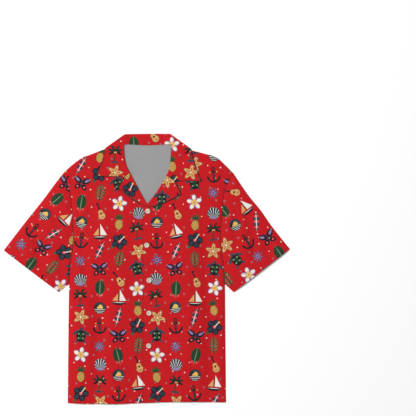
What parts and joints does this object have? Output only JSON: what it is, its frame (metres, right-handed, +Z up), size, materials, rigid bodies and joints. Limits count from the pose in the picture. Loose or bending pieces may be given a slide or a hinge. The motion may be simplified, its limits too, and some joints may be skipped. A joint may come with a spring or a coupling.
{
  "type": "hawaiian shirt",
  "caption": "Short-sleeved shirt with an open camp collar, turned-out lapels and a buttoned front, laid flat and face up.",
  "frame": {"origin": "on the surface that the shirt lies on, under the middle of the shirt's outline", "axes": "+X across the shirt towards the wearer's left sleeve, +Y from the hem to the collar, +Z up from the surface"},
  "size_m": [0.858, 0.8094, 0.0097],
  "materials": {
    "cloth": "soft printed plain weave, matte with a slight sheen, grey on its unprinted reverse",
    "buttons": "cream, smooth, softly glossy"
  },
  "bodies": {
    "root": {"back": "cloth", "front_right": "cloth", "front_left": "cloth", "facing_right": "cloth", "facing_left": "cloth", "sleeve_right": "cloth", "sleeve_left": "cloth", "collar": "cloth", "button_1": "buttons", "button_2": "buttons", "button_3": "buttons", "button_4": "buttons", "button_5": "buttons"}
  },
  "joints": []
}
